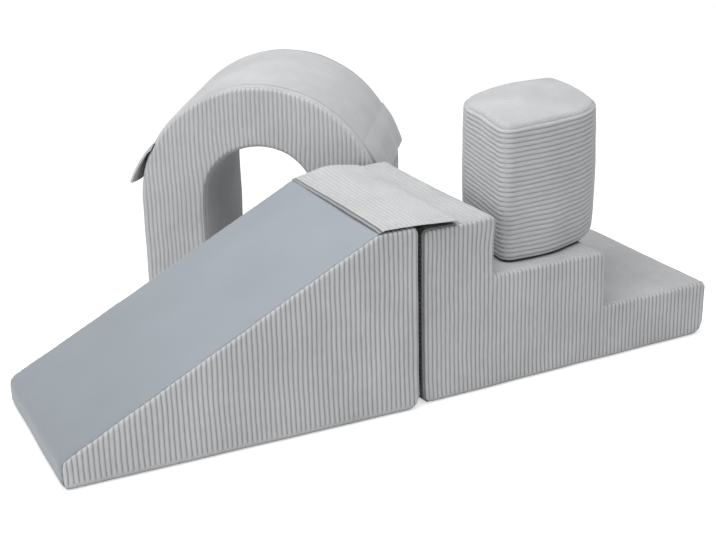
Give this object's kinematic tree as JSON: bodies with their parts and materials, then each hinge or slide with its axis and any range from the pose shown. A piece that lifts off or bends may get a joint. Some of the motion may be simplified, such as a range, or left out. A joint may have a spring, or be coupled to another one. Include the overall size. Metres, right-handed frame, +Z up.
{
  "type": "soft play foam climber",
  "caption": "Soft play climber of foam blocks: wedge slide, stepped block, tunnel arch and upright stool block in ribbed corduroy covers.",
  "frame": {"origin": "middle of the footprint of the whole set, on the floor", "axes": "+X along the row from the toe of the slide to the foot of the stairs, +Z up, the front of the row faces -Y and the arch stands on the +Y side"},
  "size_m": [1.5792, 1.1856, 0.597],
  "materials": {
    "corduroy": "light grey wide wale corduroy, matt, soft pile on the crests",
    "chute_vinyl": "smooth blue grey coated cloth, semi matt, fine grain",
    "foam": "open cell foam, matt, hidden inside the covers",
    "grip_cloth": "dark non slip cloth with small rubber dots",
    "hook_tape": "woven hook tape",
    "loop_tape": "brushed loop tape",
    "zip_tape": "woven zip tape",
    "zip_teeth": "nylon coil",
    "zip_metal": "plated metal slider"
  },
  "bodies": {
    "stairs": {"stairs_foam_core": "foam", "stairs_near_side": "corduroy", "stairs_far_side": "corduroy", "stairs_step_panel": "corduroy", "stairs_grip_base": "grip_cloth", "stairs_zip_tape": "zip_tape", "stairs_zip_teeth": "zip_teeth"},
    "slide": {"slide_foam_core": "foam", "slide_near_side": "corduroy", "slide_far_side": "corduroy", "slide_back_panel": "corduroy", "slide_chute": "chute_vinyl", "slide_grip_base": "grip_cloth", "slide_loop_strip": "loop_tape", "slide_zip_tape": "zip_tape", "slide_zip_teeth": "zip_teeth"},
    "bridge_flap": {"bridge_flap": "corduroy", "bridge_flap_hook_strip": "hook_tape"},
    "arch": {"arch_foam_core": "foam", "arch_front_panel": "corduroy", "arch_back_panel": "corduroy", "arch_outer_band": "corduroy", "arch_tunnel_lining": "corduroy", "arch_left_grip_base": "grip_cloth", "arch_right_grip_base": "grip_cloth", "arch_zip_tape": "zip_tape", "arch_zip_teeth": "zip_teeth"},
    "arch_left_flap": {"arch_left_flap": "corduroy", "arch_left_hook_strip": "hook_tape"},
    "arch_right_flap": {"arch_right_flap": "corduroy", "arch_right_hook_strip": "hook_tape"},
    "stool": {"stool_foam_core": "foam", "stool_side_band": "corduroy", "stool_top_panel": "corduroy", "stool_grip_base": "grip_cloth", "stool_zip_tape": "zip_tape", "stool_zip_teeth": "zip_teeth"},
    "slide_zip_slider": {"slide_zip_slider": "zip_metal"},
    "stairs_zip_slider": {"stairs_zip_slider": "zip_metal"},
    "arch_zip_slider": {"arch_zip_slider": "zip_metal"},
    "stool_zip_slider": {"stool_zip_slider": "zip_metal"}
  },
  "joints": [
    {"name": "slide_pull_away", "type": "slide", "parent": "stairs", "child": "slide", "axis": [-1, 0, 0], "range_m": [0, 0.5]},
    {"name": "bridge_flap_fold", "type": "hinge", "parent": "stairs", "child": "bridge_flap", "pos_m": [0.09338, -0.59281, 0.4053], "axis": [0, 1, 0], "range_deg": [0, 110]},
    {"name": "arch_pull_away", "type": "slide", "parent": "stairs", "child": "arch", "axis": [0.5373, 0.8434, 0], "range_m": [0, 0.5]},
    {"name": "arch_left_flap_lift", "type": "hinge", "parent": "arch", "child": "arch_left_flap", "pos_m": [-0.32814, 0.18331, 0.45242], "axis": [0.5373, 0.8434, 0], "range_deg": [0, 100]},
    {"name": "arch_right_flap_lift", "type": "hinge", "parent": "arch", "child": "arch_right_flap", "pos_m": [0.10677, -0.09376, 0.45242], "axis": [-0.5373, -0.8434, 0], "range_deg": [0, 100]},
    {"name": "stool_lift", "type": "slide", "parent": "stairs", "child": "stool", "axis": [0, 0, 1], "range_m": [0, 0.4]},
    {"name": "slide_zip_run", "type": "slide", "parent": "slide", "child": "slide_zip_slider", "axis": [-1, 0, 0], "range_m": [0, 0.62]},
    {"name": "stairs_zip_run", "type": "slide", "parent": "stairs", "child": "stairs_zip_slider", "axis": [-0.9993, -0.0384, 0], "range_m": [0, 0.62]},
    {"name": "arch_zip_run", "type": "slide", "parent": "arch", "child": "arch_zip_slider", "axis": [-0.5373, -0.8434, 0], "range_m": [0, 0.295]},
    {"name": "stool_zip_run", "type": "slide", "parent": "stool", "child": "stool_zip_slider", "axis": [-0.982, -0.1891, 0], "range_m": [0, 0.1]}
  ]
}
